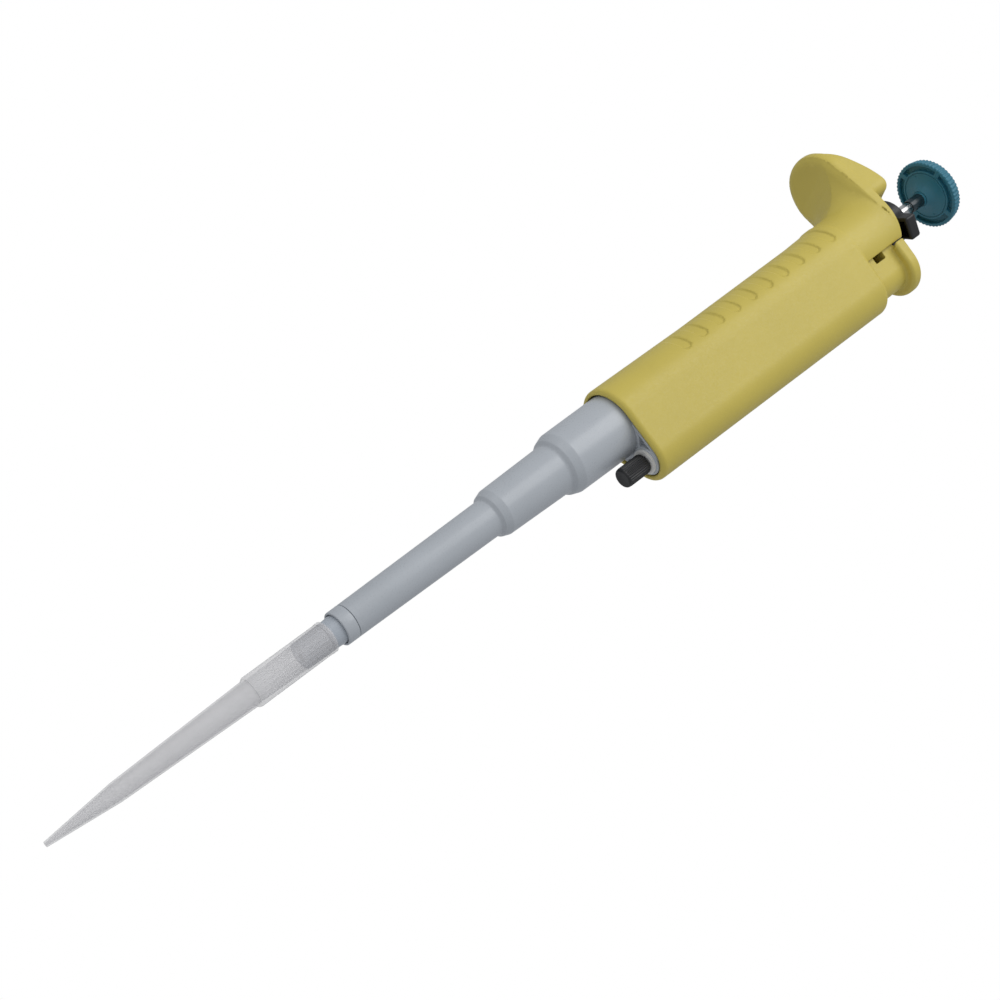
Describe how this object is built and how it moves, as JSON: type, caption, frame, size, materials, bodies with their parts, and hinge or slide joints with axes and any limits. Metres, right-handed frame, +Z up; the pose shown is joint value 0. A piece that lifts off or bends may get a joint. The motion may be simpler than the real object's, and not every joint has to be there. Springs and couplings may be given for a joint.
{
  "type": "adjustable micropipette",
  "caption": "Hand-held adjustable air-displacement micropipette with finger hook, push button, tip ejector, lock lever, volume counter and disposable tip.",
  "frame": {"origin": "centre of the nozzle's lower end, where the disposable tip is pushed on", "axes": "+Z up the main axis from the nozzle to the push button; -X is the finger hook side, +X the ejector side, -Y the printed flank and +Y the volume window"},
  "size_m": [0.0523, 0.025, 0.3254],
  "materials": {
    "handle_yellow": "satin",
    "sleeve_grey": "gloss",
    "tip_clear": "translucent",
    "button_teal": "satin",
    "black_plastic": "satin",
    "rod_chrome": "polished",
    "spring_steel": "satin",
    "brass": "machined",
    "frame_alloy": "machined",
    "piston_white": "satin",
    "drum_white": "matte",
    "seal_rubber": "matte",
    "window_clear": "clear"
  },
  "bodies": {
    "handle": {"handle_shell": "handle_yellow", "display_window": "window_clear", "top_bush": "black_plastic", "inner_frame": "frame_alloy", "counter_cage": "frame_alloy", "pinion_shaft": "spring_steel", "volume_nut": "brass", "coupling_nut": "brass", "nozzle_body": "sleeve_grey", "piston_seal": "piston_white", "seal_o_ring": "seal_rubber", "seal_retainer": "brass", "main_spring": "spring_steel", "blowout_spring": "spring_steel", "ejector_spring": "spring_steel"},
    "volume_drive": {"drive_sleeve": "drum_white", "number_drum_tens": "drum_white"},
    "hundreds_drum": {"number_drum_hundreds": "drum_white"},
    "thousands_drum": {"number_drum_thousands": "drum_white"},
    "pinion_1": {"carry_pinion_1": "drum_white"},
    "pinion_2": {"carry_pinion_2": "drum_white"},
    "volume_screw": {"volume_spindle": "brass"},
    "plunger": {"push_rod": "rod_chrome", "push_button": "button_teal", "button_cap": "button_teal", "piston_carrier": "spring_steel", "piston": "piston_white"},
    "blowout": {"blowout_plate": "spring_steel"},
    "lever": {"lock_lever": "black_plastic"},
    "ejector": {"ejector_button": "handle_yellow", "ejector_rod": "rod_chrome", "ejector_sleeve": "sleeve_grey", "sleeve_end_ring": "sleeve_grey", "knob_washer": "piston_white"},
    "knob": {"thumb_knob": "black_plastic"},
    "tip": {"pipette_tip": "tip_clear"}
  },
  "joints": [
    {"name": "volume_turn", "type": "hinge", "parent": "handle", "child": "volume_drive", "pos_m": [0, 0, 0.18], "axis": [0, 0, 1], "range_deg": [0, 3240]},
    {"name": "hundreds_turn", "type": "hinge", "parent": "handle", "child": "hundreds_drum", "pos_m": [0, 0, 0.18], "axis": [0, 0, 1], "range_deg": [0, 324]},
    {"name": "thousands_turn", "type": "hinge", "parent": "handle", "child": "thousands_drum", "pos_m": [0, 0, 0.186], "axis": [0, 0, 1], "range_deg": [0, 32.4]},
    {"name": "pinion_1_turn", "type": "hinge", "parent": "handle", "child": "pinion_1", "pos_m": [0.00658, 0.00658, 0.1786], "axis": [0, 0, 1], "range_deg": [-1852, 0]},
    {"name": "pinion_2_turn", "type": "hinge", "parent": "handle", "child": "pinion_2", "pos_m": [0.00658, 0.00658, 0.1848], "axis": [0, 0, 1], "range_deg": [-186, 0]},
    {"name": "volume_rise", "type": "slide", "parent": "volume_drive", "child": "volume_screw", "axis": [0, 0, 1], "range_m": [0, 0.0145]},
    {"name": "plunger_press", "type": "slide", "parent": "volume_screw", "child": "plunger", "axis": [0, 0, -1], "range_m": [0, 0.0058], "stiffness_N_per_m": 350, "springref_m": -0.006, "deforming": ["main_spring"]},
    {"name": "blowout_press", "type": "slide", "parent": "handle", "child": "blowout", "axis": [0, 0, -1], "range_m": [0, 0.0043], "deforming": ["blowout_spring"]},
    {"name": "lever_swing", "type": "hinge", "parent": "handle", "child": "lever", "pos_m": [0, 0, 0.227], "axis": [0, 0, 1], "range_deg": [0, 60]},
    {"name": "eject", "type": "slide", "parent": "handle", "child": "ejector", "axis": [0, 0, -1], "range_m": [0, 0.01], "stiffness_N_per_m": 250, "springref_m": -0.006, "deforming": ["ejector_spring"]},
    {"name": "knob_turn", "type": "hinge", "parent": "ejector", "child": "knob", "pos_m": [0.0134, 0, 0.104], "axis": [0, 0, 1], "continuous": true},
    {"name": "tip_slide", "type": "slide", "parent": "handle", "child": "tip", "axis": [0, 0, -1], "range_m": [0, 0.0075]}
  ],
  "couplings": [
    {"joint": "hundreds_turn", "follows": "volume_turn", "ratio": 0.1},
    {"joint": "thousands_turn", "follows": "volume_turn", "ratio": 0.01},
    {"joint": "pinion_1_turn", "follows": "volume_turn", "ratio": -0.57143},
    {"joint": "pinion_2_turn", "follows": "volume_turn", "ratio": -0.057143},
    {"joint": "volume_rise", "follows": "volume_turn", "m_per_rad": 0.00025624},
    {"joint": "blowout_press", "follows": "plunger_press", "ratio": 0.73},
    {"joint": "tip_slide", "follows": "eject", "ratio": 0.73}
  ]
}
